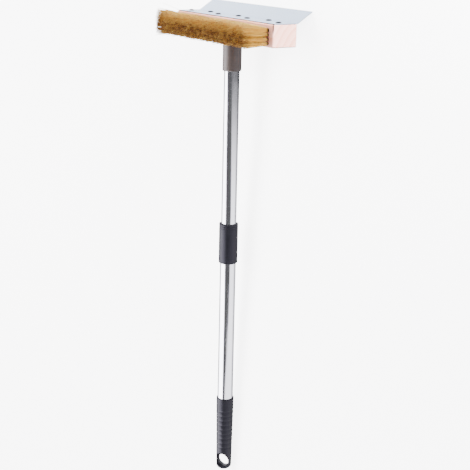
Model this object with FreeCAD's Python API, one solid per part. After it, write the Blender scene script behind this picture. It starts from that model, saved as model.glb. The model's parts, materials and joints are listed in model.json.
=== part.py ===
import FreeCAD, Part
import math
import os

# Pizza oven brush: telescopic steel pole, wood head with brass tufts, steel scraper plate.
# Drawn upright: Z along the pole from the grip's end, X across the head, +Y the scraper's side,
# -Y the bristles' side. Lengths in millimetres. The whole is laid down only where it is written out.

# Pole tubes
LOWER_TUBE_OD = 22.0
TUBE_WALL = 0.5
TELESCOPE_GAP = 0.15
TUBE_SEAT_GAP = 0.03
RUNNING_FIT = 0.06

# Stations along the pole
GRIP_LENGTH = 112.0
TUBE_DEPTH_IN_GRIP = 52.0
LOWER_TUBE_SHOWN = 202.6
COLLAR_LENGTH = 56.2
UPPER_TUBE_SHOWN = 208.9
TUBE_OVERLAP = 60.0

# Grip
GRIP_TOP_WALL = 1.3
GRIP_END_OD = 21.5
GRIP_END_ROUND = 4.6
GRIP_RIM_CHAMFER = 0.5
RING_COUNT = 9
RING_PITCH = 7.1
RING_TOP_MARGIN = 18.0
RING_LAND = 3.4
RING_SLOPE = 0.8
RING_DEPTH = 0.4
HANG_HOLE_R = 9.0
HANG_HOLE_HEIGHT = 13.0
HANG_HOLE_TURN = 32.0
HANG_HOLE_STRAIGHT = 4.0
HANG_HOLE_FLARE = 27.0
HANG_HOLE_SEAM = 22.5

# Collar
COLLAR_OD = 26.2
COLLAR_GUIDE = 10.0
COLLAR_MOUTH_CHAMFER = 0.6
COLLAR_FOOT_CHAMFER = 1.4

# Twist lock in the mouth of the lower tube
SPINDLE_PLUG_LENGTH = 22.0
SPINDLE_FLANGE = 2.0
JOURNAL_R = 5.0
JOURNAL_LENGTH = 11.0
STEM_R = 4.0
STEM_LENGTH = 34.0
SLEEVE_LENGTH = 34.0
SLEEVE_GAP = 0.06
SLEEVE_END_GAP = 0.3
SLEEVE_SPLIT = 2.4
SLEEVE_FINGER = 23.0
CONE_TOP_R = 6.2
CONE_BOTTOM_R = 8.7
NUT_LENGTH = 15.0
NUT_SEAT_GAP = 0.08
NUT_KEY_GAP = 0.15
CLIP_THICKNESS = 1.0
CLIP_R = 6.0
CLIP_GROOVE = 0.6
CLIP_END_MARGIN = 1.6

# Socket between pole and block
SOCKET_OD = 25.2
SOCKET_LENGTH = 41.8
SOCKET_BORE_DEPTH = 34.0
SOCKET_RIM_CHAMFER = 0.8
SPIGOT_R = 7.5
SPIGOT_ROOF = 1.0
SPIGOT_CHAMFER = 1.0
SPIGOT_FIT = 0.05

# Wood block
BLOCK_WIDTH = 240.0
BLOCK_THICKNESS = 35.0
BLOCK_HEIGHT = 28.0
BLOCK_FACE_TO_AXIS = 16.5
BLOCK_ARRIS = 0.9

# Tufts
TUFT_ROWS = 4
TUFT_COLUMNS = 26
TUFT_END_MARGIN = 11.5
TUFT_ROW_PITCH = 5.1
TUFT_FIRST_ROW = 4.8
TUFT_HOLE_R = 2.1
TUFT_HOLE_DEPTH = 7.5
TUFT_ROOT_R = 1.6
TUFT_LENGTH = 37.0
TUFT_FAN = 1.2
TUFT_TIP_GAP = 0.5
STAPLE_WIDTH = 2.8
STAPLE_WIRE = 0.7

# Scraper plate and its screws
BLADE_THICKNESS = 1.0
BLADE_SETBACK = 1.5
BLADE_BEND_RADIUS = 1.5
BLADE_BEND_ANGLE = 33.0
BLADE_TONGUE = 25.0
SCREW_COUNT = 7
SCREW_END_MARGIN = 12.0
SCREW_LINE_SHIFT = 2.6
SCREW_STAGGER = 4.7
SCREW_HEAD_R = 3.6
SCREW_HEAD_HEIGHT = 1.5
SCREW_CROWN_R = 2.4
SCREW_SLOT_LENGTH = 3.8
SCREW_SLOT_WIDTH = 0.8
SCREW_SLOT_DEPTH = 0.9
SCREW_SHANK_R = 1.6
SCREW_TIP_R = 0.3
SCREW_SIDES = 12
SHANK_SIDES = 6
SCREW_LENGTH = 14.0
SCREW_POINT = 3.0
SCREW_HOLE_GAP = 0.05

# Steps in which the resting angle settles
TILT_STEPS = 6

# Worked out from the sizes above
LOWER_TUBE_R = LOWER_TUBE_OD / 2
LOWER_BORE_R = LOWER_TUBE_R - TUBE_WALL
UPPER_TUBE_R = LOWER_BORE_R - TELESCOPE_GAP
UPPER_BORE_R = UPPER_TUBE_R - TUBE_WALL
GRIP_TOP_R = LOWER_TUBE_R + GRIP_TOP_WALL
GRIP_END_R = GRIP_END_OD / 2
LOWER_TUBE_FOOT = GRIP_LENGTH - TUBE_DEPTH_IN_GRIP
COLLAR_FOOT = GRIP_LENGTH + LOWER_TUBE_SHOWN
COLLAR_TOP = COLLAR_FOOT + COLLAR_LENGTH
LOWER_TUBE_TOP = COLLAR_TOP - COLLAR_GUIDE
UPPER_TUBE_FOOT = LOWER_TUBE_TOP - TUBE_OVERLAP
SOCKET_FOOT = COLLAR_TOP + UPPER_TUBE_SHOWN
UPPER_TUBE_TOP = SOCKET_FOOT + SOCKET_BORE_DEPTH
BLOCK_FOOT = SOCKET_FOOT + SOCKET_LENGTH
BLOCK_TOP = BLOCK_FOOT + BLOCK_HEIGHT
BRISTLE_FACE = -BLOCK_FACE_TO_AXIS
BLOCK_BACK = BRISTLE_FACE + BLOCK_THICKNESS
STEM_FOOT = UPPER_TUBE_FOOT - SPINDLE_FLANGE - JOURNAL_LENGTH - STEM_LENGTH
SLEEVE_TOP = UPPER_TUBE_FOOT - SPINDLE_FLANGE - SLEEVE_END_GAP
SLEEVE_FOOT = SLEEVE_TOP - SLEEVE_LENGTH
SLEEVE_R = LOWER_BORE_R - SLEEVE_GAP
TUFT_COLUMN_PITCH = (BLOCK_WIDTH - 2 * TUFT_END_MARGIN) / (TUFT_COLUMNS - 1)
SCREW_PITCH = (BLOCK_WIDTH - 2 * SCREW_END_MARGIN) / (SCREW_COUNT - 1)
SCREW_SEAT = BLOCK_TOP + BLADE_THICKNESS
SPIGOT_LENGTH = BLOCK_HEIGHT - (SCREW_LENGTH - BLADE_THICKNESS) - SPIGOT_ROOF
SCREW_LINE = (BRISTLE_FACE + BLOCK_BACK) / 2 + SCREW_LINE_SHIFT


def point(x, y, z):
    return FreeCAD.Vector(x, y, z)


def turned(profile):
    """Solid of revolution about the pole from (radius, height) corners."""
    corners = [point(r, 0, z) for r, z in profile]
    face = Part.Face(Part.makePolygon(corners + corners[:1]))
    return face.revolve(point(0, 0, 0), point(0, 0, 1), 360)


def tube(outer_r, inner_r, foot, top):
    return turned([(inner_r, foot), (outer_r, foot), (outer_r, top), (inner_r, top)])


def bar(radius, foot, top, x=0.0, y=0.0):
    return Part.makeCylinder(radius, top - foot, point(x, y, foot))


def polygon(radius, count):
    """Corners of a regular outline that stands round a circle."""
    step = 2 * math.pi / count
    reach = radius / math.cos(step / 2)
    return [(reach * math.cos(i * step), reach * math.sin(i * step)) for i in range(count)]


def stacked(outlines):
    """Flat-faced solid through closed outlines of equally many corners."""
    sides = [outlines[0], outlines[-1]]
    for lower, upper in zip(outlines, outlines[1:]):
        for i in range(len(lower)):
            j = (i + 1) % len(lower)
            sides.append([lower[i], lower[j], upper[j], upper[i]])
    faces = [Part.Face(Part.makePolygon(side + side[:1])) for side in sides]
    solid = Part.makeSolid(Part.makeShell(faces))
    if solid.Volume < 0:
        solid.reverse()
    return solid


def upright_stack(levels, count, x=0.0, y=0.0):
    """Upright flat-sided solid through (height, radius) levels, for small repeated pieces."""
    return stacked([[point(x + u, y + v, z) for u, v in polygon(radius, count)]
                    for z, radius in levels])


def grip_radius(height):
    """Outer radius of the grip at a height above its end; it is straight above its rings."""
    share = min(1, height / (GRIP_LENGTH - RING_TOP_MARGIN))
    return GRIP_END_R + (GRIP_TOP_R - GRIP_END_R) * share


def grip_rings():
    """Corners of the shallow rings round the grip, from the lowest groove up."""
    corners = []
    for ring in range(RING_COUNT - 1, -1, -1):
        top = GRIP_LENGTH - RING_TOP_MARGIN - ring * RING_PITCH
        foot = top - RING_PITCH + RING_LAND
        floor = grip_radius(foot) - RING_DEPTH
        corners += [(grip_radius(foot), foot), (floor, foot + RING_SLOPE),
                    (floor, top - RING_SLOPE), (grip_radius(top + RING_LAND), top)]
    return corners


def grip_end():
    """Corners of the grip's rounded end, from the middle out, the last one on its side."""
    corners = [(0, 0), (GRIP_END_R - GRIP_END_ROUND, 0)]
    slope = math.radians(45)
    corners.append((GRIP_END_R - GRIP_END_ROUND * (1 - math.sin(slope)),
                    GRIP_END_ROUND * (1 - math.cos(slope))))
    corners.append((grip_radius(GRIP_END_ROUND), GRIP_END_ROUND))
    return corners


def hang_hole():
    """Cross hole with a short straight middle, flared towards both its mouths.

    The seam of its round faces is turned off the planes along and across the grip.
    """
    half = HANG_HOLE_STRAIGHT / 2
    reach = 2 * GRIP_TOP_R
    mouth_r = HANG_HOLE_R + (reach - half) * math.tan(math.radians(HANG_HOLE_FLARE))
    hole = turned([
        (0, -reach), (mouth_r, -reach), (HANG_HOLE_R, -half),
        (HANG_HOLE_R, half), (mouth_r, reach), (0, reach),
    ])
    hole.rotate(point(0, 0, 0), point(0, 0, 1), HANG_HOLE_SEAM)
    hole.rotate(point(0, 0, 0), point(1, 0, 0), 90)
    hole.translate(point(0, 0, HANG_HOLE_HEIGHT))
    return hole


def make_grip():
    """Sleeve that tapers to a round end, with shallow rings and a cross hole to hang it by."""
    rim = GRIP_LENGTH - GRIP_RIM_CHAMFER
    bore = LOWER_TUBE_R + TUBE_SEAT_GAP
    body = turned(grip_end() + grip_rings() + [
        (GRIP_TOP_R, rim), (GRIP_TOP_R - GRIP_RIM_CHAMFER, GRIP_LENGTH),
        (bore, GRIP_LENGTH), (bore, LOWER_TUBE_FOOT), (0, LOWER_TUBE_FOOT),
    ])
    body = body.cut(hang_hole())
    body.rotate(point(0, 0, 0), point(0, 0, 1), HANG_HOLE_TURN)
    return body


def make_lower_tube():
    return tube(LOWER_TUBE_R, LOWER_BORE_R, LOWER_TUBE_FOOT, LOWER_TUBE_TOP)


def make_collar():
    """Sleeve over the lower tube's mouth; its narrow top guides the upper tube."""
    outer = COLLAR_OD / 2
    seat = LOWER_TUBE_R + TUBE_SEAT_GAP
    guide = UPPER_TUBE_R + RUNNING_FIT
    return turned([
        (seat, COLLAR_FOOT),
        (outer - COLLAR_FOOT_CHAMFER, COLLAR_FOOT),
        (outer, COLLAR_FOOT + COLLAR_FOOT_CHAMFER),
        (outer, COLLAR_TOP),
        (guide + COLLAR_MOUTH_CHAMFER, COLLAR_TOP),
        (guide, COLLAR_TOP - COLLAR_MOUTH_CHAMFER),
        (guide, LOWER_TUBE_TOP),
        (seat, LOWER_TUBE_TOP),
    ])


def make_upper_tube():
    return tube(UPPER_TUBE_R, UPPER_BORE_R, UPPER_TUBE_FOOT, UPPER_TUBE_TOP)


def make_lock_spindle():
    """Plug in the upper tube's end, with a journal for the sleeve and a stem for the nut."""
    flange_foot = UPPER_TUBE_FOOT - SPINDLE_FLANGE
    journal_foot = flange_foot - JOURNAL_LENGTH
    groove_foot = STEM_FOOT + CLIP_END_MARGIN
    groove_top = groove_foot + CLIP_THICKNESS
    plug_r = UPPER_BORE_R - TUBE_SEAT_GAP
    return turned([
        (0, STEM_FOOT), (STEM_R, STEM_FOOT),
        (STEM_R, groove_foot), (STEM_R - CLIP_GROOVE, groove_foot),
        (STEM_R - CLIP_GROOVE, groove_top), (STEM_R, groove_top),
        (STEM_R, journal_foot), (JOURNAL_R, journal_foot),
        (JOURNAL_R, flange_foot), (UPPER_TUBE_R, flange_foot),
        (UPPER_TUBE_R, UPPER_TUBE_FOOT), (plug_r, UPPER_TUBE_FOOT),
        (plug_r, UPPER_TUBE_FOOT + SPINDLE_PLUG_LENGTH),
        (0, UPPER_TUBE_FOOT + SPINDLE_PLUG_LENGTH),
    ])


def sleeve_splits(width, foot, top):
    """Four radial walls, a quarter turn apart, as wide as the sleeve's splits."""
    wall = Part.makeBox(SLEEVE_R + 1, width, top - foot, point(0, -width / 2, foot))
    walls = []
    for quarter in range(4):
        turned_wall = wall.copy()
        turned_wall.rotate(point(0, 0, 0), point(0, 0, 1), 90 * quarter)
        walls.append(turned_wall)
    return walls


def make_lock_sleeve():
    """Sleeve with a tapered bore and four fingers, split all the way up one side."""
    cone_top = SLEEVE_FOOT + SLEEVE_FINGER
    journal_bore = JOURNAL_R + RUNNING_FIT
    body = turned([
        (CONE_BOTTOM_R, SLEEVE_FOOT), (SLEEVE_R, SLEEVE_FOOT),
        (SLEEVE_R, SLEEVE_TOP), (journal_bore, SLEEVE_TOP),
        (journal_bore, cone_top), (CONE_TOP_R, cone_top),
    ])
    fingers = sleeve_splits(SLEEVE_SPLIT, SLEEVE_FOOT - 1, cone_top)
    through = sleeve_splits(SLEEVE_SPLIT, SLEEVE_FOOT - 1, SLEEVE_TOP + 1)[0]
    return body.cut(fingers + [through])


def cone_radius(height):
    """Radius of the sleeve's tapered bore at a height on the pole."""
    share = (height - SLEEVE_FOOT) / SLEEVE_FINGER
    return CONE_BOTTOM_R + (CONE_TOP_R - CONE_BOTTOM_R) * share


def make_cone_nut():
    """Tapered nut on the stem; its keys ride in the sleeve's splits."""
    foot = SLEEVE_FOOT + (SLEEVE_FINGER - NUT_LENGTH) / 2
    top = foot + NUT_LENGTH
    bore = STEM_R + RUNNING_FIT
    body = turned([
        (bore, foot), (cone_radius(foot) - NUT_SEAT_GAP, foot),
        (cone_radius(top) - NUT_SEAT_GAP, top), (bore, top),
    ])
    keys = sleeve_splits(SLEEVE_SPLIT - 2 * NUT_KEY_GAP, foot, top)
    ring = tube(SLEEVE_R - NUT_KEY_GAP, (bore + cone_radius(top)) / 2, foot, top)
    return body.fuse([key.common(ring) for key in keys]).removeSplitter()


def make_spindle_clip():
    """Retaining ring in the groove at the stem's end."""
    foot = STEM_FOOT + CLIP_END_MARGIN
    ring = tube(CLIP_R, STEM_R - CLIP_GROOVE, foot, foot + CLIP_THICKNESS)
    mouth = Part.makeBox(CLIP_R + 1, STEM_R, CLIP_THICKNESS, point(0, -STEM_R / 2, foot))
    return ring.cut(mouth)


def make_handle_socket():
    """Ferrule over the upper tube's end, with a spigot that goes up into the block."""
    outer = SOCKET_OD / 2
    bore = UPPER_TUBE_R + TUBE_SEAT_GAP
    tip = BLOCK_FOOT + SPIGOT_LENGTH
    return turned([
        (bore, SOCKET_FOOT), (outer - SOCKET_RIM_CHAMFER, SOCKET_FOOT),
        (outer, SOCKET_FOOT + SOCKET_RIM_CHAMFER), (outer, BLOCK_FOOT),
        (SPIGOT_R, BLOCK_FOOT), (SPIGOT_R, tip - SPIGOT_CHAMFER),
        (SPIGOT_R - SPIGOT_CHAMFER, tip), (0, tip),
        (0, UPPER_TUBE_TOP), (bore, UPPER_TUBE_TOP),
    ])


def tuft_columns():
    first = -BLOCK_WIDTH / 2 + TUFT_END_MARGIN
    return [first + column * TUFT_COLUMN_PITCH for column in range(TUFT_COLUMNS)]


def tuft_row_height(row):
    return BLOCK_FOOT + TUFT_FIRST_ROW + row * TUFT_ROW_PITCH


def screw_places():
    """The screws zigzag along the plate's flat, the middle one on the back line."""
    middle = (SCREW_COUNT - 1) // 2
    places = []
    for number in range(SCREW_COUNT):
        step = number - middle
        side = 1 if step % 2 == 0 else -1
        places.append((step * SCREW_PITCH, SCREW_LINE + side * SCREW_STAGGER))
    return places


def screw_holes(top):
    """Holes for the screw shanks, from a height down to the screws' points."""
    foot = SCREW_SEAT - SCREW_LENGTH - SCREW_HOLE_GAP
    radius = SCREW_SHANK_R + SCREW_HOLE_GAP
    return [upright_stack([(foot, radius), (top, radius)], SHANK_SIDES, x, y) for x, y in screw_places()]


def make_wood_block():
    """Beech block, drilled for the spigot, the tufts and the plate's screws."""
    body = Part.makeBox(BLOCK_WIDTH, BLOCK_THICKNESS, BLOCK_HEIGHT,
                        point(-BLOCK_WIDTH / 2, BRISTLE_FACE, BLOCK_FOOT))
    body = body.makeChamfer(BLOCK_ARRIS, body.Edges)
    socket_hole = bar(SPIGOT_R + SPIGOT_FIT, BLOCK_FOOT - 1, BLOCK_FOOT + SPIGOT_LENGTH + SPIGOT_FIT)
    holes = [socket_hole] + screw_holes(BLOCK_TOP + 1)
    for row in range(TUFT_ROWS):
        for x in tuft_columns():
            holes.append(stacked([
                round_tuft_outline(x, y, tuft_row_height(row), TUFT_HOLE_R)
                for y in (BRISTLE_FACE - 1, BRISTLE_FACE + TUFT_HOLE_DEPTH)
            ]))
    return body.cut(holes)


def tuft_outline(x, y, z, half_x, half_z):
    """Six corners round a tuft at a distance y from the pole's axis."""
    slant = half_z * math.tan(math.radians(30))
    corners = [(half_x, 0), (half_x - slant, half_z), (slant - half_x, half_z),
               (-half_x, 0), (slant - half_x, -half_z), (half_x - slant, -half_z)]
    return [point(x + dx, y, z + dz) for dx, dz in corners]


def round_tuft_outline(x, y, z, radius):
    return tuft_outline(x, y, z, radius / math.cos(math.radians(30)), radius)


def make_bristle_row(row):
    """One row of tufts, each set in its hole and spread towards its tips."""
    height = tuft_row_height(row)
    middle = (tuft_row_height(0) + tuft_row_height(TUFT_ROWS - 1)) / 2
    tip_height = middle + (height - middle) * TUFT_FAN
    tip_half_z = (TUFT_ROW_PITCH * TUFT_FAN - TUFT_TIP_GAP) / 2
    tip_half_x = (TUFT_COLUMN_PITCH - TUFT_TIP_GAP) / 2
    root = BRISTLE_FACE + TUFT_HOLE_DEPTH - STAPLE_WIRE
    tufts = [stacked([
        round_tuft_outline(x, root, height, TUFT_ROOT_R),
        tuft_outline(x, BRISTLE_FACE - TUFT_LENGTH, tip_height, tip_half_x, tip_half_z),
    ]) for x in tuft_columns()]
    return Part.makeCompound(tufts)


def make_tuft_staples():
    """Anchor wire in the bottom of every tuft hole."""
    staples = []
    bottom = BRISTLE_FACE + TUFT_HOLE_DEPTH - STAPLE_WIRE
    for row in range(TUFT_ROWS):
        for x in tuft_columns():
            corner = point(x - STAPLE_WIDTH / 2, bottom, tuft_row_height(row) - STAPLE_WIRE / 2)
            staples.append(Part.makeBox(STAPLE_WIDTH, STAPLE_WIRE, STAPLE_WIRE, corner))
    return Part.makeCompound(staples)


def blade_far_edge():
    """Outer corner of the plate's far edge, as (y, z)."""
    angle = math.radians(BLADE_BEND_ANGLE)
    y = BLOCK_BACK + (BLADE_BEND_RADIUS + BLADE_THICKNESS) * math.sin(angle)
    y += BLADE_TONGUE * math.cos(angle)
    inner = BLOCK_TOP + BLADE_THICKNESS + BLADE_BEND_RADIUS
    z = inner - (BLADE_BEND_RADIUS + BLADE_THICKNESS) * math.cos(angle)
    z += BLADE_TONGUE * math.sin(angle)
    return y, z


def make_scraper_blade():
    """Plate folded along the block's back edge; the tongue slants up and away from it."""
    angle = math.radians(BLADE_BEND_ANGLE)
    centre_z = BLOCK_TOP + BLADE_THICKNESS + BLADE_BEND_RADIUS

    def on_bend(radius, turn):
        return (BLOCK_BACK + radius * math.sin(turn), centre_z - radius * math.cos(turn))

    def at(place):
        return point(-BLOCK_WIDTH / 2, place[0], place[1])

    outer = BLADE_BEND_RADIUS + BLADE_THICKNESS
    front = BRISTLE_FACE + BLADE_SETBACK
    far_outer = blade_far_edge()
    far_inner = (far_outer[0] - BLADE_THICKNESS * math.sin(angle),
                 far_outer[1] + BLADE_THICKNESS * math.cos(angle))
    edges = [
        Part.makeLine(at((front, BLOCK_TOP)), at(on_bend(outer, 0))),
        Part.Arc(at(on_bend(outer, 0)), at(on_bend(outer, angle / 2)), at(on_bend(outer, angle))).toShape(),
        Part.makeLine(at(on_bend(outer, angle)), at(far_outer)),
        Part.makeLine(at(far_outer), at(far_inner)),
        Part.makeLine(at(far_inner), at(on_bend(BLADE_BEND_RADIUS, angle))),
        Part.Arc(at(on_bend(BLADE_BEND_RADIUS, angle)), at(on_bend(BLADE_BEND_RADIUS, angle / 2)),
                 at(on_bend(BLADE_BEND_RADIUS, 0))).toShape(),
        Part.makeLine(at(on_bend(BLADE_BEND_RADIUS, 0)), at((front, SCREW_SEAT))),
        Part.makeLine(at((front, SCREW_SEAT)), at((front, BLOCK_TOP))),
    ]
    plate = Part.Face(Part.Wire(edges)).extrude(point(BLOCK_WIDTH, 0, 0))
    return plate.cut(screw_holes(SCREW_SEAT + 1))


def make_blade_screws():
    """Pan-head wood screws with cross slots, all alike."""
    crown = SCREW_SEAT + SCREW_HEAD_HEIGHT
    foot = SCREW_SEAT - SCREW_LENGTH
    head = upright_stack([(SCREW_SEAT, SCREW_HEAD_R), (SCREW_SEAT + SCREW_HEAD_HEIGHT / 2, SCREW_HEAD_R),
                          (crown, SCREW_CROWN_R)], SCREW_SIDES)
    for length, width in ((SCREW_SLOT_LENGTH, SCREW_SLOT_WIDTH), (SCREW_SLOT_WIDTH, SCREW_SLOT_LENGTH)):
        corner = point(-length / 2, -width / 2, crown - SCREW_SLOT_DEPTH)
        head = head.cut(Part.makeBox(length, width, SCREW_SLOT_DEPTH + 1, corner))
    shank = upright_stack([(foot, SCREW_TIP_R), (foot + SCREW_POINT, SCREW_SHANK_R),
                           (SCREW_SEAT, SCREW_SHANK_R)], SHANK_SIDES)
    screw = head.fuse(shank)
    screws = []
    for x, y in screw_places():
        copy = screw.copy()
        copy.translate(point(x, y, 0))
        screws.append(copy)
    return Part.makeCompound(screws)


def resting_tilt(grip):
    """Angle that sets both the plate's far edge and the grip's end on the ground."""
    edge_y, edge_z = blade_far_edge()
    tilt = 0.0
    for _ in range(TILT_STEPS):
        tilted = grip.copy()
        tilted.rotate(point(0, 0, 0), point(1, 0, 0), math.degrees(tilt) - 90)
        edge_height = edge_z * math.sin(tilt) - edge_y * math.cos(tilt)
        grip_height = tilted.optimalBoundingBox(False, False).ZMin
        tilt += (grip_height - edge_height) / edge_z
    return tilt


def lay_down(parts):
    """Bristles up, pole along +Y, origin on the ground under the middle of the whole."""
    turn = FreeCAD.Rotation(point(1, 0, 0), math.degrees(resting_tilt(parts["grip"])) - 90)
    laid = FreeCAD.Placement(point(0, 0, 0), turn).toMatrix()
    flat = {name: shape.transformed(laid, True) for name, shape in parts.items()}
    box = Part.makeCompound(list(flat.values())).optimalBoundingBox(False, False)
    shift = point(-box.Center.x, -box.Center.y, -box.ZMin)
    for shape in flat.values():
        shape.translate(shift)
    return flat


def build_parts():
    parts = {
        "grip": make_grip(),
        "lower_tube": make_lower_tube(),
        "collar": make_collar(),
        "upper_tube": make_upper_tube(),
        "lock_spindle": make_lock_spindle(),
        "lock_sleeve": make_lock_sleeve(),
        "cone_nut": make_cone_nut(),
        "spindle_clip": make_spindle_clip(),
        "handle_socket": make_handle_socket(),
        "wood_block": make_wood_block(),
        "tuft_staples": make_tuft_staples(),
        "scraper_blade": make_scraper_blade(),
        "blade_screws": make_blade_screws(),
    }
    for row in range(TUFT_ROWS):
        parts[f"bristle_row_{row + 1}"] = make_bristle_row(row)
    return parts


def main():
    os.makedirs("parts", exist_ok=True)
    for name, shape in lay_down(build_parts()).items():
        shape.exportStep(f"parts/{name}.step")
        box = shape.BoundBox
        print(f"{name:16s} solids {len(shape.Solids):3d} valid {shape.isValid()} "
              f"volume {shape.Volume:10.1f} z {box.ZMin:7.2f} to {box.ZMax:7.2f}")


main()
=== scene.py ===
import json
import math

import bmesh
import bpy
import numpy as np
from mathutils import Matrix, Vector


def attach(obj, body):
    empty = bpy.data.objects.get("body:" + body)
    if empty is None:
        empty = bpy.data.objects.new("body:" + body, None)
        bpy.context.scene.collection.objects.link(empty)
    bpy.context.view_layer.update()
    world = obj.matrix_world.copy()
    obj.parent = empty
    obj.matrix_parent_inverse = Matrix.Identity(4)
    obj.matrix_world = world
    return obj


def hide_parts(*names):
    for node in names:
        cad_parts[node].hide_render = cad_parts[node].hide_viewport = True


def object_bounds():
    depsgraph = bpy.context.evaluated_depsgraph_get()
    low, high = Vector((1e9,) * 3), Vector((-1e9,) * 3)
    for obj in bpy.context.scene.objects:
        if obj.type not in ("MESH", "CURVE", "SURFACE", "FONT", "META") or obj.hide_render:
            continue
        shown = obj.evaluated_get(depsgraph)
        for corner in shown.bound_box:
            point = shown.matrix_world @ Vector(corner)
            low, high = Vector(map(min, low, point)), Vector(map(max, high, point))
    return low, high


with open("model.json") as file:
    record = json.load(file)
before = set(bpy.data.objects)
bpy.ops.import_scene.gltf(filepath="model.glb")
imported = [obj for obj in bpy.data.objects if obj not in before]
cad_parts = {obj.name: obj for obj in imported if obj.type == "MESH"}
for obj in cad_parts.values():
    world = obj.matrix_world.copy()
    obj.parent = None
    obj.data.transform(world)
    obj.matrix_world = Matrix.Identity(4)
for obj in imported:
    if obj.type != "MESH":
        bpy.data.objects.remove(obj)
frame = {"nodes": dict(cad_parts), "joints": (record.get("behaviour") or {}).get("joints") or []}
cad_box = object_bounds()

# Lengths in metres, angles in degrees
MM = 0.001
NEAR = 0.1 * MM

# Camera, fitted to the photograph with the pole upright
FOCAL_PX = 1080.0
FRAME_PX = 470.0
SENSOR_MM = 36.0
CAMERA_TURN = 58.0
CAMERA_DISTANCE = 1433 * MM
CAMERA_SIDE = 9 * MM
CAMERA_ABOVE_BLOCK_FOOT = 138 * MM
CAMERA_PITCH = 15.8
CAMERA_ROLL = 1.3
CAMERA_CLIP = (0.05, 60.0)

# Studio: strips of radiance, by the turn about the pole. The camera's side is 0, its right positive
FILL_SHARE = 0.3
FLOOR_GLOW = 5.5
BACK_GLOW = 9.0
HEAD_SIDE_GLOW = 4.0
LEFT_EDGE_GLOW = 1.2
SOFTBOX_GLOW = 11.0
DARK_GLOW = 0.15
RIGHT_DIM_GLOW = 0.25
RIGHT_BRIGHT_GLOW = 3.2
FAR_RIGHT_GLOW = 0.9
BACK_FLAG_GLOW = 0.4
STUDIO_TINT = (0.955, 0.95, 1.0, 1)
LEFT_EDGE_TURNS = (-122.0, -106.0)
FAR_RIGHT_TURNS = (88.0, 118.0)
BACK_FLAG_TURNS = ((138.0, 146.0), (164.0, 172.0))
HEAD_SIDE_RISES = ((-0.05, 0.05), (0.55, 0.7))
DARK_BLUR = 5.0
RIGHT_BLUR = 4.0

# Edges that lean with the rise along the pole: two rises, then the value at each of them
DARK_START = (-0.32, -0.11, -42.0, -72.0)
DARK_END_ABOVE = (-0.25, -0.13, 31.0, 0.0)
DARK_END_BELOW = (-0.42, -0.34, -12.0, 31.0)
RIGHT_GLOW = (-0.24, -0.14, RIGHT_BRIGHT_GLOW, RIGHT_DIM_GLOW)

# Floor and lamps
FLOOR_HALF = 9.0
FLOOR_DROP = 0.2 * MM
KEY_LIGHT_DISTANCE = 2.4
KEY_LIGHT_SIZE = (1.8, 1.6)
KEY_LIGHT_WATTS = 130
SIDE_LIGHT_FROM = (1.0, 0.1, 0.8)
SIDE_LIGHT_DISTANCE = 0.8
SIDE_LIGHT_SIZE = (0.4, 0.3)
SIDE_LIGHT_WATTS = 85

# Beech: the pith line lies behind the block and below it
PITH_BEHIND = 34 * MM
PITH_BELOW = 26 * MM
GROWTH_RING = 8.5 * MM
GROWTH_WANDER = 9 * MM

# Brass wires
WIRE_SEED = 40
WIRES_PER_TUFT = 100
WIRE_RADIUS = 0.17 * MM
WIRE_JOINTS = 10
WIRE_SIDES = 3
WIRE_SET_IN = 2.5 * MM
WIRE_KINK = 0.16 * MM
WIRE_SHORTFALL = 1.1 * MM
LEAN_SHORTFALL = 0.07
WIRE_TIP_SPREAD = 1.12
WIRE_FAN_OUT = 0.65
WILD_SHARE = 0.07
WILD_SPREAD = 2.4 * MM
CALM_SPREAD = 0.22 * WILD_SPREAD
TIP_INSET = 6 * WIRE_KINK
TUFT_GAP = 4 * MM
TUFT_LEANS = (0.5, 1.0)
TOP_LIFT = 7.0 * MM
SECOND_LIFT = 2.5 * MM
END_SPLAY = 5.5 * MM
END_SPLAY_SHARES = (0.1, 1.0)
END_SPLAY_REACH = 24 * MM
END_RAGGED = 0.3 * END_SPLAY
END_WILD_SHARE = 0.3
ROOT_FILL = 1.04

# Turned pieces
LATHE_STEPS = 96
SHARP_TURN = 50.0
GROOVES_BELOW_RIM = (2.6 * MM, 5.6 * MM)
GROOVE_WIDTH = 0.9 * MM
GROOVE_DEPTH = 0.35 * MM
GROOVE_SLOPE = 0.25 * MM
COLLAR_FOOT_ROUND = 1.4 * MM
RIM_ROUND = 0.4 * MM
GRIP_STEP = 0.7 * MM
GRIP_END_R = 10.75 * MM
GRIP_END_ROUND = 6.5 * MM
RING_COUNT = 9
RING_PITCH = 7.1 * MM
RING_TOP_MARGIN = 18.0 * MM
RING_GROOVE = 3.7 * MM
RING_SLOPE = 1.6 * MM
RING_DEPTH = 0.35 * MM
HOLE_R = 9.0 * MM
HOLE_STRAIGHT = 8.0 * MM
HOLE_FLARE = 33.5
HOLE_HEIGHT = 13.0 * MM
HOLE_TURN = 32.0
HOLE_REACH = 20.0 * MM


# ---- The upright frame: Z along the pole from the grip's end, X across the head, Y to the scraper

def upright_frame():
    """Matrix from the upright frame to the row frame."""
    twist = next(joint for joint in frame["joints"] if joint["name"] == "lock_twist")
    along = Vector(twist["axis"]).normalized()
    across = Vector((1, 0, 0))
    back = along.cross(across)
    turn = Matrix((across, back, along)).transposed().to_4x4()
    on_pole = Vector(twist["pos_m"])
    grip = [turn.inverted() @ vertex.co for vertex in frame["nodes"]["grip"].data.vertices]
    foot = min(corner.z for corner in grip)
    start = on_pole + along * (foot - (turn.inverted() @ on_pole).z)
    return Matrix.Translation(start) @ turn


UPRIGHT = upright_frame()
TO_UPRIGHT = UPRIGHT.inverted()


def upright_corners(node):
    """A CAD node's vertices in the upright frame."""
    return np.array([TO_UPRIGHT @ vertex.co for vertex in frame["nodes"][node].data.vertices])


def upright_box(node):
    """Lowest and highest corner of a CAD node in the upright frame."""
    corners = upright_corners(node)
    return Vector(corners.min(axis=0)), Vector(corners.max(axis=0))


# ---- Materials

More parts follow.
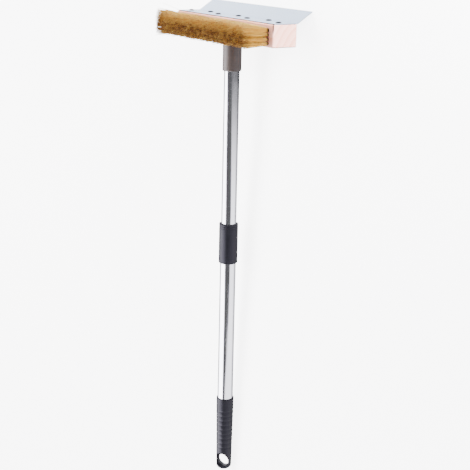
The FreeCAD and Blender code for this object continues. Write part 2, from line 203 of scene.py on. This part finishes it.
class Nodes:
    """A node tree, with short calls for the nodes that recur."""

    def __init__(self, tree, place):
        self.tree = tree
        self.place = place

    def link(self, source, target):
        self.tree.links.new(source, target)

    def feed(self, target, value):
        if isinstance(value, bpy.types.NodeSocket):
            self.link(value, target)
        else:
            target.default_value = value

    def math(self, operation, a, b=0.0):
        node = self.tree.nodes.new("ShaderNodeMath")
        node.operation = operation
        self.feed(node.inputs[0], a)
        self.feed(node.inputs[1], b)
        return node.outputs[0]

    def span(self, value, low, high, to_low, to_high):
        """The value, moved from one range to another and held inside it."""
        node = self.tree.nodes.new("ShaderNodeMapRange")
        for socket, number in zip(("From Min", "From Max", "To Min", "To Max"),
                                  (low, high, to_low, to_high)):
            self.feed(node.inputs[socket], number)
        self.link(value, node.inputs["Value"])
        return node.outputs[0]

    def band(self, value, rising, falling):
        """1 between two soft edges and 0 outside them, each edge given as (start, end)."""
        return self.math("MULTIPLY", self.span(value, *rising, 0.0, 1.0),
                         self.span(value, *falling, 1.0, 0.0))

    def between(self, fac, a, b):
        """Number between two others."""
        node = self.tree.nodes.new("ShaderNodeMix")
        for socket, value in zip((0, 2, 3), (fac, a, b)):
            self.feed(node.inputs[socket], value)
        return node.outputs[0]

    def along(self, direction):
        """The place's share along a direction."""
        node = self.tree.nodes.new("ShaderNodeVectorMath")
        node.operation = "DOT_PRODUCT"
        node.inputs[1].default_value = direction
        self.link(self.place, node.inputs[0])
        return node.outputs["Value"]


class Shader(Nodes):
    """A material whose nodes see their place in the upright frame."""

    def __init__(self, name, **sockets):
        self.material = bpy.data.materials.new(name)
        self.material.use_nodes = True
        tree = self.material.node_tree
        self.surface = tree.nodes["Principled BSDF"]
        for socket, value in sockets.items():
            self.surface.inputs[socket.replace("_", " ")].default_value = value
        place = tree.nodes.new("ShaderNodeTexCoord")
        turn = tree.nodes.new("ShaderNodeMapping")
        turn.inputs["Rotation"].default_value = TO_UPRIGHT.to_euler()
        turn.inputs["Location"].default_value = TO_UPRIGHT.translation
        tree.links.new(place.outputs["Object"], turn.inputs["Vector"])
        super().__init__(tree, turn.outputs["Vector"])

    def axis(self, letter):
        node = self.tree.nodes.new("ShaderNodeSeparateXYZ")
        self.link(self.place, node.inputs[0])
        return node.outputs[letter]

    def stretched(self, x, y, z):
        """The place, scaled along each axis."""
        node = self.tree.nodes.new("ShaderNodeMapping")
        node.inputs["Scale"].default_value = (x, y, z)
        self.link(self.place, node.inputs["Vector"])
        return node.outputs["Vector"]

    def noise(self, scale, detail=3.0, roughness=0.5, place=None, distortion=0.0):
        node = self.tree.nodes.new("ShaderNodeTexNoise")
        node.inputs["Scale"].default_value = scale
        node.inputs["Detail"].default_value = detail
        node.inputs["Roughness"].default_value = roughness
        node.inputs["Distortion"].default_value = distortion
        self.link(place or self.place, node.inputs["Vector"])
        return node.outputs["Fac"]

    def ramp(self, fac, *stops):
        """Colour ramp through (position, colour) stops."""
        node = self.tree.nodes.new("ShaderNodeValToRGB")
        marks = node.color_ramp.elements
        while len(marks) < len(stops):
            marks.new(0.5)
        for mark, (position, colour) in zip(marks, stops):
            mark.position = position
            mark.color = (*colour, 1)
        self.link(fac, node.inputs["Fac"])
        return node.outputs["Color"]

    def blend(self, fac, a, b):
        """Colour between two others."""
        node = self.tree.nodes.new("ShaderNodeMix")
        node.data_type = "RGBA"
        self.feed(node.inputs["Factor"], fac)
        self.feed(node.inputs[6], a if isinstance(a, bpy.types.NodeSocket) else (*a, 1))
        self.feed(node.inputs[7], b if isinstance(b, bpy.types.NodeSocket) else (*b, 1))
        return node.outputs[2]

    def bump(self, height, distance, strength=1.0, rounding=0.0):
        """Bump from a height, over edges rounded in the shading by a radius."""
        node = self.tree.nodes.new("ShaderNodeBump")
        node.inputs["Strength"].default_value = strength
        node.inputs["Distance"].default_value = distance
        self.link(height, node.inputs["Height"])
        if rounding:
            bevel = self.tree.nodes.new("ShaderNodeBevel")
            bevel.samples = 4
            bevel.inputs["Radius"].default_value = rounding
            self.link(bevel.outputs["Normal"], node.inputs["Normal"])
        self.link(node.outputs["Normal"], self.surface.inputs["Normal"])

    def colour(self, value):
        self.link(value, self.surface.inputs["Base Color"])

    def roughness(self, value):
        self.link(value, self.surface.inputs["Roughness"])


def chromed_tube():
    """Mirror-bright steel with faint lines along the tube."""
    shader = Shader("chromed_tube", Metallic=1.0)
    streaks = shader.noise(900, 2, place=shader.stretched(1, 1, 0.02))
    stains = shader.noise(45, 4, 0.6)
    shader.colour(shader.ramp(stains, (0.3, (0.80, 0.80, 0.83)), (0.7, (0.86, 0.86, 0.89))))
    shader.roughness(shader.span(shader.math("ADD", streaks, stains), 0.7, 1.3, 0.06, 0.13))
    shader.bump(streaks, 0.004 * MM, 0.4)
    return shader.material


def black_plastic(name="black_plastic", gloss=0.26):
    """Moulded plastic with a fine grain and dull scuffs."""
    shader = Shader(name, Specular_IOR_Level=gloss, Specular_Tint=(0.86, 0.82, 1.0, 1.0))
    grain = shader.noise(2600, 2)
    scuffs = shader.noise(60, 5, 0.65, place=shader.stretched(1, 1, 0.35))
    shader.colour(shader.ramp(scuffs, (0.35, (0.003, 0.003, 0.0042)), (0.75, (0.006, 0.006, 0.008))))
    shader.roughness(shader.span(scuffs, 0.3, 0.7, 0.36, 0.50))
    shader.bump(grain, 0.012 * MM, 0.35, 0.35 * MM)
    return shader.material


def ferrule_plastic():
    """Satin grey-brown plastic with fine turning lines round it."""
    shader = Shader("ferrule_plastic", Specular_IOR_Level=0.6)
    lines = shader.noise(700, 1, place=shader.stretched(0.01, 0.01, 1))
    mottle = shader.noise(110, 5, 0.6)
    base = shader.ramp(mottle, (0.3, (0.052, 0.036, 0.031)), (0.7, (0.074, 0.053, 0.046)))
    shader.colour(shader.blend(shader.span(lines, 0.45, 0.75, 0.0, 0.35), base, (0.025, 0.018, 0.016)))
    shader.roughness(shader.span(mottle, 0.3, 0.7, 0.30, 0.42))
    shader.bump(lines, 0.02 * MM, 0.5, 0.4 * MM)
    return shader.material


def lock_plastic():
    """Off-white plastic of the lock inside the tube."""
    shader = Shader("lock_plastic", Subsurface_Weight=0.05)
    mottle = shader.noise(90, 4)
    grain = shader.noise(1800, 2)
    shader.colour(shader.ramp(mottle, (0.3, (0.66, 0.65, 0.60)), (0.7, (0.74, 0.73, 0.68))))
    shader.roughness(shader.span(mottle, 0.3, 0.7, 0.42, 0.55))
    shader.bump(grain, 0.01 * MM, 0.3, 0.2 * MM)
    return shader.material


def plain_steel():
    """Steel of the clip and the staples, with a few marks."""
    shader = Shader("plain_steel", Metallic=1.0)
    marks = shader.noise(260, 4, 0.6)
    shader.colour(shader.ramp(marks, (0.3, (0.44, 0.44, 0.46)), (0.7, (0.62, 0.62, 0.64))))
    shader.roughness(shader.span(marks, 0.3, 0.7, 0.22, 0.4))
    shader.bump(marks, 0.01 * MM, 0.4, 0.15 * MM)
    return shader.material


def screw_steel():
    """Dark steel of the screws: partly a blackened finish, partly painted shade of their countersinks."""
    shader = Shader("screw_steel", Metallic=1.0)
    marks = shader.noise(420, 4, 0.6)
    # Partly painted shade: the heads are coloured near-black, also standing in for the shade in their
    # countersinks.
    shader.colour(shader.ramp(marks, (0.3, (0.035, 0.033, 0.040)), (0.7, (0.085, 0.080, 0.090))))
    shader.roughness(shader.span(marks, 0.3, 0.7, 0.3, 0.5))
    shader.bump(marks, 0.02 * MM, 0.4, 0.15 * MM)
    return shader.material


def blade_steel():
    """Sheet steel, finely brushed across the head, with a few scratches and painted shade along its front
    edge.
    """
    shader = Shader("blade_steel", Metallic=1.0)
    low = upright_box("scraper_blade")[0]
    brushing = shader.noise(1500, 3, place=shader.stretched(0.02, 1, 1))
    stains = shader.noise(22, 5, 0.6)
    scratches = shader.noise(380, 2, place=shader.stretched(0.08, 1, 1), distortion=0.6)
    tone = shader.ramp(stains, (0.3, (0.66, 0.80, 0.99)), (0.7, (0.73, 0.86, 1.0)))
    tone = shader.blend(shader.span(scratches, 0.66, 0.74, 0.0, 0.3), tone, (0.56, 0.60, 0.68))
    # Painted shade: a near-black strip along the sheet's front edge, where the blade's edge and the shadow
    # under it look dark.
    edge = shader.span(shader.axis("Y"), low.y, low.y + 0.5 * MM, 1.0, 0.0)
    shader.colour(shader.blend(edge, tone, (0.008, 0.007, 0.010)))
    shader.roughness(shader.span(shader.math("ADD", brushing, stains), 0.7, 1.3, 0.3, 0.46))
    shader.bump(brushing, 0.01 * MM, 0.35, 0.25 * MM)
    return shader.material


def beech():
    """Pinkish beech: rings round a pith line along the block, flecks along the grain, a dark streak on one
    arris.
    """
    shader = Shader("beech", Specular_IOR_Level=0.35)
    low, high = upright_box("wood_block")
    wander = shader.noise(14, 3, place=shader.stretched(0.25, 1, 1))
    dy = shader.math("SUBTRACT", shader.axis("Y"), high.y + PITH_BEHIND)
    dz = shader.math("SUBTRACT", shader.axis("Z"), low.z - PITH_BELOW)
    reach = shader.math("SQRT", shader.math("ADD", shader.math("MULTIPLY", dy, dy),
                                            shader.math("MULTIPLY", dz, dz)))
    wavy = shader.math("ADD", reach, shader.math("MULTIPLY", wander, GROWTH_WANDER))
    ring = shader.math("FRACT", shader.math("MULTIPLY", wavy, 1 / GROWTH_RING))
    early = shader.span(ring, 0.0, 0.8, 0.0, 1.0)
    fibres = shader.noise(900, 3, 0.6, place=shader.stretched(0.03, 1, 1))
    flecks = shader.noise(620, 2, place=shader.stretched(0.12, 1, 1))
    tone = shader.ramp(early, (0.0, (0.95, 0.55, 0.47)), (0.7, (0.92, 0.48, 0.39)),
                       (1.0, (0.85, 0.39, 0.30)))
    tone = shader.blend(shader.span(fibres, 0.35, 0.7, 0.0, 0.3), tone, (0.86, 0.45, 0.36))
    tone = shader.blend(shader.span(flecks, 0.66, 0.72, 0.0, 0.45), tone, (0.47, 0.27, 0.19))
    # Dark streak down the upper part of the arris between the front and the near end.
    at_end = shader.span(shader.axis("X"), high.x - 1.8 * MM, high.x - 1.2 * MM, 0.0, 1.0)
    at_front = shader.span(shader.axis("Y"), low.y + 0.9 * MM, low.y + 1.4 * MM, 1.0, 0.0)
    at_top = shader.span(shader.axis("Z"), high.z - 12 * MM, high.z - 7 * MM, 0.0, 1.0)
    split = shader.math("MULTIPLY", shader.math("MULTIPLY", at_end, at_front), at_top)
    shader.colour(shader.blend(split, tone, (0.10, 0.045, 0.035)))
    shader.roughness(shader.span(fibres, 0.3, 0.7, 0.5, 0.68))
    shader.bump(shader.math("ADD", fibres, shader.math("MULTIPLY", early, 0.4)), 0.05 * MM, 0.5, 0.5 * MM)
    return shader.material


def brass_wire():
    """Brass: painted shade where it enters the wood, bright along its middle, browned at its tips and far
    end, partly oxide and partly painted shade that is kept mostly off the top rows.
    """
    shader = Shader("brass_wire", Metallic=0.85, Specular_IOR_Level=0.2)
    low = upright_box("bristle_row_1")[0]
    top = upright_box("bristle_row_4")[1].z
    face = upright_box("wood_block")[0].y
    island = shader.tree.nodes.new("ShaderNodeNewGeometry").outputs["Random Per Island"]
    soot = shader.noise(160, 4, 0.6)
    bright = shader.ramp(island, (0.0, (0.46, 0.24, 0.05)), (0.25, (0.92, 0.60, 0.15)),
                         (1.0, (1.0, 0.80, 0.25)))
    far_end = shader.span(shader.axis("X"), low.x + 2 * MM, low.x + 34 * MM, 0.8, 0.0)
    # Browning towards the tips: partly oxide on the cut ends, partly painted shade of the gaps between
    # wires seen end on.
    tip = shader.span(shader.axis("Y"), low.y, low.y + 15 * MM, 1.0, 0.0)
    tip = shader.math("MAXIMUM", tip, shader.math("MULTIPLY", far_end, 0.8))
    # Painted shade: the browning fades out over the top rows, so the upper rows read as lit and the lower
    # ones as shaded; at the far end it stays.
    painted_shade_weight = shader.span(shader.axis("Z"), top - 11 * MM, top - 3 * MM, 1.0, 0.08)
    painted_shade_weight = shader.math("MAXIMUM", painted_shade_weight, far_end)
    other = shader.math("FRACT", shader.math("MULTIPLY", island, 37.0))
    by_wire = shader.span(other, 0.0, 1.0, 0.3, 2.2)
    browning_and_painted_shade = shader.math("MULTIPLY", shader.math("POWER", tip, 1.6), shader.span(soot, 0.35, 0.62, 0.3, 1.0))
    browning_and_painted_shade = shader.math("MULTIPLY", browning_and_painted_shade, shader.math("MULTIPLY", painted_shade_weight, by_wire))
    # Painted shade: the wires go near-black within a few millimetres of the wood face, where the tuft holes
    # are in shade.
    root = shader.span(shader.axis("Y"), face - 3.2 * MM, face - 0.8 * MM, 0.0, 1.0)
    tone = shader.blend(browning_and_painted_shade, bright, (0.25, 0.105, 0.04))
    shader.colour(shader.blend(root, tone, (0.05, 0.025, 0.015)))
    shader.roughness(shader.math("ADD", shader.span(soot, 0.3, 0.7, 0.30, 0.45),
                                 shader.math("MULTIPLY", browning_and_painted_shade, 0.25)))
    return shader.material


def floor_paint():
    """Pale paint that glows, so that the floor stays nearly white."""
    shader = Shader("floor_paint", Specular_IOR_Level=0.2, Emission_Strength=FLOOR_GLOW)
    shader.surface.inputs["Emission Color"].default_value = (1, 1, 1, 1)
    cloud = shader.noise(3, 3)
    shader.colour(shader.ramp(cloud, (0.3, (0.90, 0.90, 0.90)), (0.7, (0.93, 0.93, 0.93))))
    shader.roughness(shader.span(cloud, 0.3, 0.7, 0.7, 0.8))
    shader.bump(shader.noise(300, 2), 0.02 * MM, 0.2)
    return shader.material


# ---- Tufts of brass wire

def tuft_places(node):
    """Middle of every tuft's root in a CAD row, and the row's middle and half size at the tips."""
    corners = upright_corners(node)
    root = corners[corners[:, 1] > corners[:, 1].max() - NEAR]
    tips = corners[corners[:, 1] < corners[:, 1].min() + NEAR]
    root_xs = np.unique(np.round(root[:, 0], 5))
    breaks = np.flatnonzero(np.diff(root_xs) > TUFT_GAP) + 1
    middles = [group.mean() for group in np.split(root_xs, breaks)]
    return {
        "xs": np.array(middles),
        "root_z": root[:, 2].mean(),
        "root_half": (root[:, 2].max() - root[:, 2].min()) / 2,
        "tip_z": (tips[:, 2].max() + tips[:, 2].min()) / 2,
        "tip_half_z": (tips[:, 2].max() - tips[:, 2].min()) / 2,
        "tip_half_x": tips[:, 0].max() - middles[-1],
        "tip_y": corners[:, 1].min(),
    }


def wire_paths(node, lift, dice):
    """Centre points of all the wires of a row, as an array (wire, joint, xyz), lifted at the tips."""
    row = tuft_places(node)
    low, high = upright_box("wood_block")
    tufts = len(row["xs"])
    count = tufts * WIRES_PER_TUFT
    middle_x = np.repeat(row["xs"], WIRES_PER_TUFT)
    angle = dice.uniform(0, 2 * math.pi, count)
    reach = np.sqrt(dice.uniform(0, 1, count))
    u, v = reach * np.cos(angle), reach * np.sin(angle)
    root_y = low.y + WIRE_SET_IN
    root_x = middle_x + u * row["root_half"] * ROOT_FILL
    root_z = row["root_z"] + v * row["root_half"] * ROOT_FILL
    left_end = np.clip((row["xs"][0] + END_SPLAY_REACH - middle_x) / END_SPLAY_REACH, 0, 1)
    is_wild = dice.uniform(0, 1, count) < WILD_SHARE + END_WILD_SHARE * left_end
    wild = np.where(is_wild, WILD_SPREAD, CALM_SPREAD)
    tip_x = middle_x + u * row["tip_half_x"] * WIRE_TIP_SPREAD + dice.normal(0, 1, count) * wild
    lean = np.repeat(dice.uniform(*TUFT_LEANS, tufts), WIRES_PER_TUFT)
    half_z = row["tip_half_z"] * WIRE_TIP_SPREAD + lift / 2
    tip_z = row["tip_z"] + lean * lift / 2 + v * half_z + dice.normal(0, 1, count) * wild
    tip_x -= END_SPLAY * left_end ** 2 * dice.uniform(*END_SPLAY_SHARES, count)
    tip_z += END_RAGGED * left_end * dice.normal(0, 1, count)
    tip_x = np.clip(tip_x, low.x + TIP_INSET, high.x - TIP_INSET)
    tip_y = row["tip_y"] + dice.exponential(WIRE_SHORTFALL, count)
    tip_y += LEAN_SHORTFALL * abs(tip_z - row["tip_z"])
    share = np.linspace(0, 1, WIRE_JOINTS)
    bend = share ** WIRE_FAN_OUT
    kink = dice.normal(0, WIRE_KINK, (count, WIRE_JOINTS, 2)) * np.sqrt(share)[None, :, None]
    paths = np.empty((count, WIRE_JOINTS, 3))
    paths[:, :, 0] = root_x[:, None] + (tip_x - root_x)[:, None] * bend + kink[:, :, 0]
    paths[:, :, 1] = root_y + (tip_y - root_y)[:, None] * share
    paths[:, :, 2] = root_z[:, None] + (tip_z - root_z)[:, None] * bend + kink[:, :, 1]
    return paths


def wires_mesh(name, paths):
    """Mesh of thin prisms along the paths, closed at their tips."""
    count, joints, _ = paths.shape
    turns = np.arange(WIRE_SIDES) * 2 * math.pi / WIRE_SIDES
    rim = np.stack([np.cos(turns), np.zeros(WIRE_SIDES), np.sin(turns)], axis=1) * WIRE_RADIUS
    corners = paths[:, :, None, :] + rim[None, None, :, :]
    flat = corners.reshape(-1, 3)
    turn = np.array(UPRIGHT.to_3x3())
    placed = flat @ turn.T + np.array(UPRIGHT.translation)
    index = np.arange(count * joints * WIRE_SIDES).reshape(count, joints, WIRE_SIDES)
    lower, upper = index[:, :-1], index[:, 1:]
    sides = np.stack([lower, np.roll(lower, -1, axis=2), np.roll(upper, -1, axis=2), upper], axis=-1)
    faces = sides.reshape(-1, 4).tolist() + index[:, -1].tolist()
    mesh = bpy.data.meshes.new(name)
    mesh.from_pydata(placed.tolist(), [], faces)
    mesh.update()
    return mesh


def make_wire_rows(material):
    """Loose wires for each CAD row. The upper two rows spread upwards at their tips."""
    for number, lift in enumerate((0, 0, SECOND_LIFT, TOP_LIFT), start=1):
        node = f"bristle_row_{number}"
        dice = np.random.RandomState(WIRE_SEED + number)
        name = f"wire_row_{number}"
        piece = bpy.data.objects.new(name, wires_mesh(name, wire_paths(node, lift, dice)))
        bpy.context.scene.collection.objects.link(piece)
        piece.data.materials.append(material)
        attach(piece, "upper_pole")
        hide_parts(node)


# ---- Turned pieces

def smooth_shading(work):
    """Smooth faces, with hard edges where they turn sharply."""
    bmesh.ops.recalc_face_normals(work, faces=work.faces)
    for edge in work.edges:
        edge.smooth = edge.is_manifold and edge.calc_face_angle() < math.radians(SHARP_TURN)
    for face in work.faces:
        face.smooth = True


def lathe_mesh(name, profile, place):
    """Closed mesh turned about the place's Z, through (radius, height) corners round a section."""
    turns = np.arange(LATHE_STEPS) * 2 * math.pi / LATHE_STEPS
    corners = [place @ Vector((r * math.cos(a), r * math.sin(a), z)) for r, z in profile for a in turns]
    index = np.arange(len(corners)).reshape(len(profile), LATHE_STEPS)
    after = np.roll(index, -1, axis=0)
    faces = np.stack([index, np.roll(index, -1, axis=1), np.roll(after, -1, axis=1), after], axis=-1)
    mesh = bpy.data.meshes.new(name)
    mesh.from_pydata(corners, [], faces.reshape(-1, 4).tolist())
    work = bmesh.new()
    work.from_mesh(mesh)
    bmesh.ops.remove_doubles(work, verts=work.verts, dist=0.001 * MM)
    bmesh.ops.delete(work, geom=[edge for edge in work.edges if edge.is_wire], context="EDGES")
    smooth_shading(work)
    work.to_mesh(mesh)
    work.free()
    return mesh


def without(mesh, cutter_mesh):
    """The mesh with a cutter's volume taken out of it."""
    body = bpy.data.objects.new("body", mesh)
    cutter = bpy.data.objects.new("cutter", cutter_mesh)
    for piece in (body, cutter):
        bpy.context.scene.collection.objects.link(piece)
    cut = body.modifiers.new("cut", "BOOLEAN")
    cut.operation = "DIFFERENCE"
    cut.solver = "MANIFOLD"
    cut.object = cutter
    result = bpy.data.meshes.new_from_object(body.evaluated_get(bpy.context.evaluated_depsgraph_get()))
    bpy.data.objects.remove(body)
    bpy.data.objects.remove(cutter)
    work = bmesh.new()
    work.from_mesh(result)
    smooth_shading(work)
    work.to_mesh(result)
    work.free()
    return result


def make_turned_piece(name, mesh, node, rim, material, rim_material):
    """Piece for a CAD node on the lower pole; its faces above the rim's height get their own finish."""
    piece = bpy.data.objects.new(name, mesh)
    bpy.context.scene.collection.objects.link(piece)
    mesh.materials.clear()
    mesh.materials.append(material)
    mesh.materials.append(rim_material)
    for face in mesh.polygons:
        face.material_index = int((TO_UPRIGHT @ face.center).z > rim)
    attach(piece, "lower_pole")
    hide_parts(node)


def groove(radius, top):
    """Corners of a fine groove, from its lower edge to its upper one."""
    foot = top - GROOVE_WIDTH
    return [(radius, foot), (radius - GROOVE_DEPTH, foot + GROOVE_SLOPE),
            (radius - GROOVE_DEPTH, top - GROOVE_SLOPE), (radius, top)]


def rounded(corner_r, corner_z, radius, from_turn, steps=6):
    """Corners of a quarter round about a middle, starting at a turn in degrees."""
    turns = np.radians(np.linspace(from_turn, from_turn + 90, steps))
    return [(corner_r + radius * math.cos(a), corner_z + radius * math.sin(a)) for a in turns]


def node_rings(node):
    """Radius from the pole's middle line and height of every corner of a CAD node."""
    corners = upright_corners(node)
    return np.hypot(corners[:, 0], corners[:, 1]), corners[:, 2]


def make_collar_shell(material, rim_material):
    """Collar with its two fine grooves under the rim and rounded edges."""
    radii, heights = node_rings("collar")
    foot, top = heights.min(), heights.max()
    outer, guide = radii.max(), radii.min()
    seat = radii[heights < foot + NEAR].min()
    guide_foot = heights[radii < guide + NEAR / 2].min()
    profile = [(seat, foot)]
    profile += rounded(outer - COLLAR_FOOT_ROUND, foot + COLLAR_FOOT_ROUND, COLLAR_FOOT_ROUND, -90)
    for below in reversed(GROOVES_BELOW_RIM):
        profile += groove(outer, top - below)
    profile += rounded(outer - RIM_ROUND, top - RIM_ROUND, RIM_ROUND, 0)
    profile += rounded(guide + RIM_ROUND, top - RIM_ROUND, RIM_ROUND, 90)
    profile += [(guide, guide_foot), (seat, guide_foot)]
    make_turned_piece("collar_shell", lathe_mesh("collar_shell", profile, UPRIGHT), "collar",
                      top - RIM_ROUND, material, rim_material)


def ring_depth(below):
    """Depth of the grip's shallow rings at a distance below the first one's upper edge."""
    step = below % RING_PITCH
    side = np.clip(np.minimum(step, RING_GROOVE - step) / RING_SLOPE, 0, 1)
    inside = (below > 0) & (below < RING_COUNT * RING_PITCH)
    return np.where(inside, RING_DEPTH * side * side * (3 - 2 * side), 0)


def make_grip_shell(material, rim_material):
    """Grip with softly edged rings, a round end and a flared hole across it."""
    radii, heights = node_rings("grip")
    foot, top = heights.min(), heights.max()
    widest = radii.max()
    bore = radii[heights > top - NEAR].min()
    bore_foot = upright_box("lower_tube")[0].z
    levels = np.arange(foot + GRIP_END_ROUND, top - RIM_ROUND, GRIP_STEP)
    share = np.clip((levels - foot) / (top - foot - RING_TOP_MARGIN), 0, 1)
    sides = GRIP_END_R + (widest - GRIP_END_R) * share - ring_depth(top - RING_TOP_MARGIN - levels)
    profile = [(0, foot)]
    profile += rounded(sides[0] - GRIP_END_ROUND, foot + GRIP_END_ROUND, GRIP_END_ROUND, -90, 12)[:-1]
    profile += list(zip(sides, levels))
    profile += rounded(widest - RIM_ROUND, top - RIM_ROUND, RIM_ROUND, 0)
    profile += [(bore, top), (bore, bore_foot), (0, bore_foot)]
    half = HOLE_STRAIGHT / 2
    mouth = HOLE_R + (HOLE_REACH - half) * math.tan(math.radians(HOLE_FLARE))
    hole = [(0, -HOLE_REACH), (mouth, -HOLE_REACH), (HOLE_R, -half), (HOLE_R, half),
            (mouth, HOLE_REACH), (0, HOLE_REACH)]
    across = (UPRIGHT @ Matrix.Translation((0, 0, foot + HOLE_HEIGHT))
              @ Matrix.Rotation(math.radians(HOLE_TURN), 4, "Z")
              @ Matrix.Rotation(math.radians(90), 4, "X"))
    mesh = without(lathe_mesh("grip_shell", profile, UPRIGHT), lathe_mesh("hole", hole, across))
    make_turned_piece("grip_shell", mesh, "grip", top - RIM_ROUND, material, rim_material)


# ---- CAD nodes in their finishes

FINISHES = {
    chromed_tube: ["lower_tube", "upper_tube"],
    black_plastic: ["grip", "collar"],
    ferrule_plastic: ["handle_socket"],
    lock_plastic: ["lock_spindle", "lock_sleeve", "cone_nut"],
    plain_steel: ["spindle_clip", "tuft_staples"],
    screw_steel: ["blade_screws"],
    blade_steel: ["scraper_blade"],
    beech: ["wood_block"],
}


def finish_nodes():
    for make, names in FINISHES.items():
        material = make()
        for name in names:
            slots = frame["nodes"][name].material_slots
            if slots:
                slots[0].material = material
            else:
                frame["nodes"][name].data.materials.append(material)


# ---- Floor, light and camera

def make_floor():
    """Floor that is seen, but neither lights the part nor shows in it."""
    mesh = bpy.data.meshes.new("floor")
    corners = [(x * FLOOR_HALF, y * FLOOR_HALF, 0) for x, y in ((-1, -1), (1, -1), (1, 1), (-1, 1))]
    mesh.from_pydata(corners, [], [(0, 1, 2, 3)])
    floor = bpy.data.objects.new("floor", mesh)
    floor.location.z = -FLOOR_DROP
    bpy.context.scene.collection.objects.link(floor)
    mesh.materials.append(floor_paint())
    floor.visible_glossy = False
    floor.visible_diffuse = False


def across_view():
    """Directions across the pole in the upright frame: to the camera's right and away from it."""
    turn = math.radians(CAMERA_TURN)
    return Vector((math.cos(turn), math.sin(turn), 0)), Vector((-math.sin(turn), math.cos(turn), 0))


def camera_axes():
    """Right, up and forward directions of the fitted camera, in the row frame."""
    pitch = math.radians(CAMERA_PITCH)
    roll = math.radians(CAMERA_ROLL)
    right, away = across_view()
    rise = Vector((0, 0, 1))
    forward = away * math.cos(pitch) - rise * math.sin(pitch)
    up = away * math.sin(pitch) + rise * math.cos(pitch)
    rolled_right = right * math.cos(roll) + up * math.sin(roll)
    rolled_up = up * math.cos(roll) - right * math.sin(roll)
    turn_only = UPRIGHT.to_3x3()
    return [turn_only @ axis for axis in (rolled_right, rolled_up, forward)]


def camera_place():
    right, away = across_view()
    level = upright_box("wood_block")[0].z + CAMERA_ABOVE_BLOCK_FOOT
    return UPRIGHT @ (right * CAMERA_SIDE - away * CAMERA_DISTANCE + Vector((0, 0, level)))


def make_camera():
    data = bpy.data.cameras.new("camera")
    data.sensor_fit = "HORIZONTAL"
    data.sensor_width = SENSOR_MM
    data.lens = SENSOR_MM * FOCAL_PX / FRAME_PX
    data.clip_start, data.clip_end = CAMERA_CLIP
    camera = bpy.data.objects.new("camera", data)
    right, up, forward = camera_axes()
    turn = Matrix((right, up, -forward)).transposed().to_4x4()
    camera.matrix_world = Matrix.Translation(camera_place()) @ turn
    bpy.context.scene.collection.objects.link(camera)
    bpy.context.scene.camera = camera


def make_softbox(name, middle, direction, distance, size, power):
    """Area light on a direction from a point, facing it; mirrors don't show it."""
    data = bpy.data.lights.new(name, "AREA")
    data.shape = "RECTANGLE"
    data.size, data.size_y = size
    data.energy = power
    light = bpy.data.objects.new(name, data)
    away = direction.normalized()
    light.location = middle + away * distance
    light.rotation_mode = "QUATERNION"
    light.rotation_quaternion = away.to_track_quat("Z", "Y")
    light.visible_camera = False
    light.visible_glossy = False
    bpy.context.scene.collection.objects.link(light)


def make_world():
    """Studio round the pole: a softbox to its left, a dark camera side, a dimmer right and a dark flag
    behind. The strips are seen in mirrors only: other rays get a share of them, the camera a plain wall."""
    world = bpy.data.worlds.new("studio")
    world.use_nodes = True
    tree = world.node_tree
    nodes = Nodes(tree, tree.nodes.new("ShaderNodeTexCoord").outputs["Generated"])
    turn_only = UPRIGHT.to_3x3()
    right, away = [turn_only @ axis for axis in across_view()]
    turn = nodes.math("MULTIPLY", nodes.math("ARCTAN2", nodes.along(right), nodes.along(-away)),
                      math.degrees(1))
    rise = nodes.along(turn_only @ Vector((0, 0, 1)))
    past_start = nodes.math("SUBTRACT", turn, nodes.span(rise, *DARK_START))
    dark_end = nodes.math("MINIMUM", nodes.span(rise, *DARK_END_ABOVE), nodes.span(rise, *DARK_END_BELOW))
    past_end = nodes.math("SUBTRACT", turn, dark_end)
    right_glow = nodes.span(rise, *RIGHT_GLOW)
    far_right_glow = nodes.math("MULTIPLY", right_glow, FAR_RIGHT_GLOW / RIGHT_BRIGHT_GLOW)

    glow = nodes.between(nodes.span(turn, *LEFT_EDGE_TURNS, 0.0, 1.0), LEFT_EDGE_GLOW, SOFTBOX_GLOW)
    glow = nodes.between(nodes.span(past_start, -DARK_BLUR, DARK_BLUR, 0.0, 1.0), glow, DARK_GLOW)
    glow = nodes.between(nodes.span(past_end, -RIGHT_BLUR, RIGHT_BLUR, 0.0, 1.0), glow, right_glow)
    glow = nodes.between(nodes.span(turn, *FAR_RIGHT_TURNS, 0.0, 1.0), glow, far_right_glow)
    glow = nodes.between(nodes.band(turn, *BACK_FLAG_TURNS), glow, BACK_FLAG_GLOW)
    glow = nodes.between(nodes.band(rise, *HEAD_SIDE_RISES), glow, HEAD_SIDE_GLOW)

    ray = tree.nodes.new("ShaderNodeLightPath").outputs
    glow = nodes.between(ray["Is Glossy Ray"], nodes.math("MULTIPLY", glow, FILL_SHARE), glow)
    shade = tree.nodes["Background"]
    shade.inputs["Color"].default_value = STUDIO_TINT
    nodes.link(nodes.between(ray["Is Camera Ray"], glow, BACK_GLOW), shade.inputs["Strength"])
    bpy.context.scene.world = world


def make_lights():
    """A large lamp to the camera's left and a small one above the block's near end."""
    right, up, forward = camera_axes()
    make_softbox("key_light", (cad_box[0] + cad_box[1]) / 2, -right + up * 0.3 - forward * 0.1,
                 KEY_LIGHT_DISTANCE, KEY_LIGHT_SIZE, KEY_LIGHT_WATTS)
    low, high = upright_box("wood_block")
    make_softbox("side_light", UPRIGHT @ ((low + high) / 2), UPRIGHT.to_3x3() @ Vector(SIDE_LIGHT_FROM),
                 SIDE_LIGHT_DISTANCE, SIDE_LIGHT_SIZE, SIDE_LIGHT_WATTS)


# ---- The scene

make_wire_rows(brass_wire())
finish_nodes()
moulding = black_plastic("sleeve_plastic")
dull_rim = black_plastic("rim_plastic", 0.02)
make_collar_shell(moulding, dull_rim)
make_grip_shell(moulding, dull_rim)
make_floor()
make_world()
make_lights()
make_camera()
